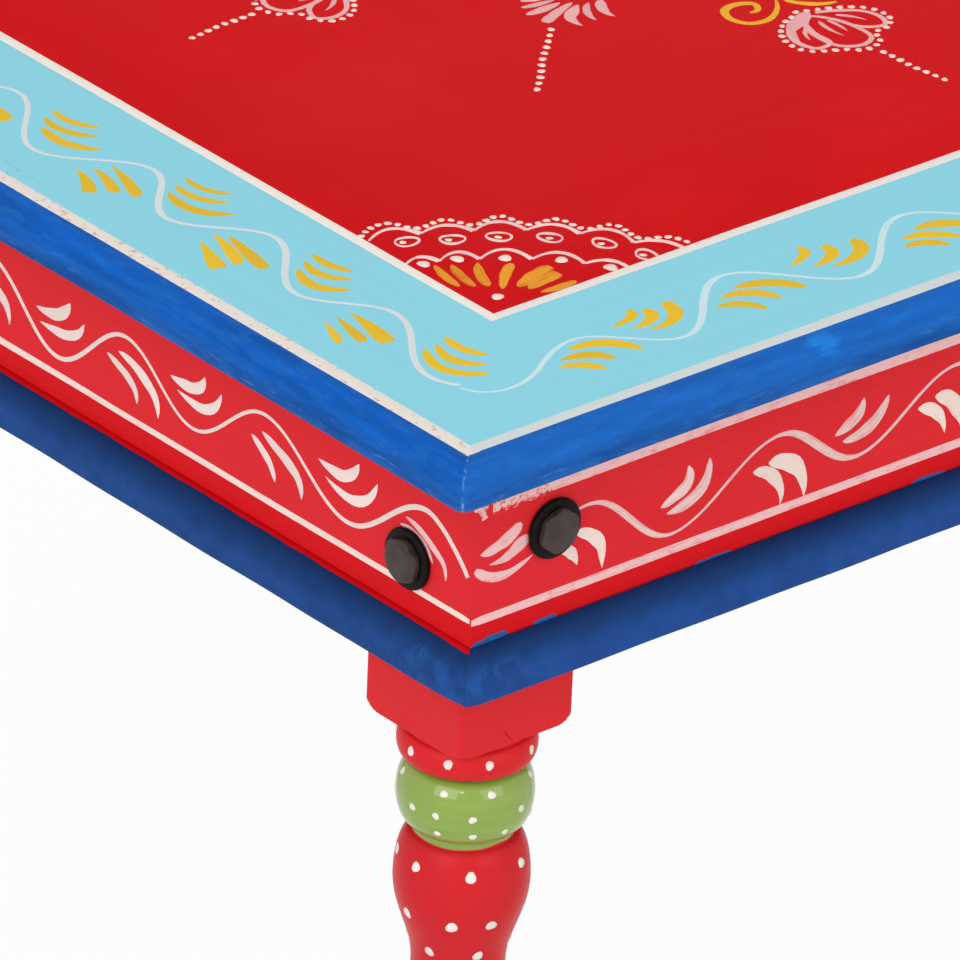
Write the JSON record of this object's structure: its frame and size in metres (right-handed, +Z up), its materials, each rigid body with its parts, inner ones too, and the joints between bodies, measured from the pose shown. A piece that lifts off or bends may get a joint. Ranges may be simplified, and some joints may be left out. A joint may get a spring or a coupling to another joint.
{
  "type": "coffee table",
  "caption": "Low square wooden coffee table with a hand-painted top, bolted turned legs, a painted apron and a moulding under it.",
  "frame": {"origin": "on the floor under the middle of the table", "axes": "+Z up through the table top, -Y out of the front rail, X along the front rail"},
  "size_m": [0.61, 0.61, 0.406],
  "materials": {
    "top_paint": "satin paint on wood, red field with a pale blue border and a blue edge",
    "apron_paint": "satin red paint on wood with cream brush ornament",
    "moulding_paint": "satin blue paint on wood, brushed and worn",
    "leg_paint": "semi-gloss red paint on turned wood, with a green ball and cream dots",
    "black_steel": "black, worn bright at the edges",
    "zinc_steel": "zinc plated",
    "bare_wood": "bare sawn wood"
  },
  "bodies": {
    "root": {"top_board": "top_paint", "apron_front": "apron_paint", "moulding_front": "moulding_paint", "leg_front_left": "leg_paint", "cleat_front": "bare_wood", "bolt_front_high": "black_steel", "washer_front_high": "black_steel", "insert_front_high": "zinc_steel", "bolt_front_low": "black_steel", "washer_front_low": "black_steel", "insert_front_low": "zinc_steel", "cleat_screw_front_left": "zinc_steel", "cleat_screw_front_right": "zinc_steel", "apron_right": "apron_paint", "moulding_right": "moulding_paint", "leg_front_right": "leg_paint", "cleat_right": "bare_wood", "bolt_right_high": "black_steel", "washer_right_high": "black_steel", "insert_right_high": "zinc_steel", "bolt_right_low": "black_steel", "washer_right_low": "black_steel", "insert_right_low": "zinc_steel", "cleat_screw_right_left": "zinc_steel", "cleat_screw_right_right": "zinc_steel", "apron_back": "apron_paint", "moulding_back": "moulding_paint", "leg_back_right": "leg_paint", "cleat_back": "bare_wood", "bolt_back_high": "black_steel", "washer_back_high": "black_steel", "insert_back_high": "zinc_steel", "bolt_back_low": "black_steel", "washer_back_low": "black_steel", "insert_back_low": "zinc_steel", "cleat_screw_back_left": "zinc_steel", "cleat_screw_back_right": "zinc_steel", "apron_left": "apron_paint", "moulding_left": "moulding_paint", "leg_back_left": "leg_paint", "cleat_left": "bare_wood", "bolt_left_high": "black_steel", "washer_left_high": "black_steel", "insert_left_high": "zinc_steel", "bolt_left_low": "black_steel", "washer_left_low": "black_steel", "insert_left_low": "zinc_steel", "cleat_screw_left_left": "zinc_steel", "cleat_screw_left_right": "zinc_steel"}
  },
  "joints": []
}
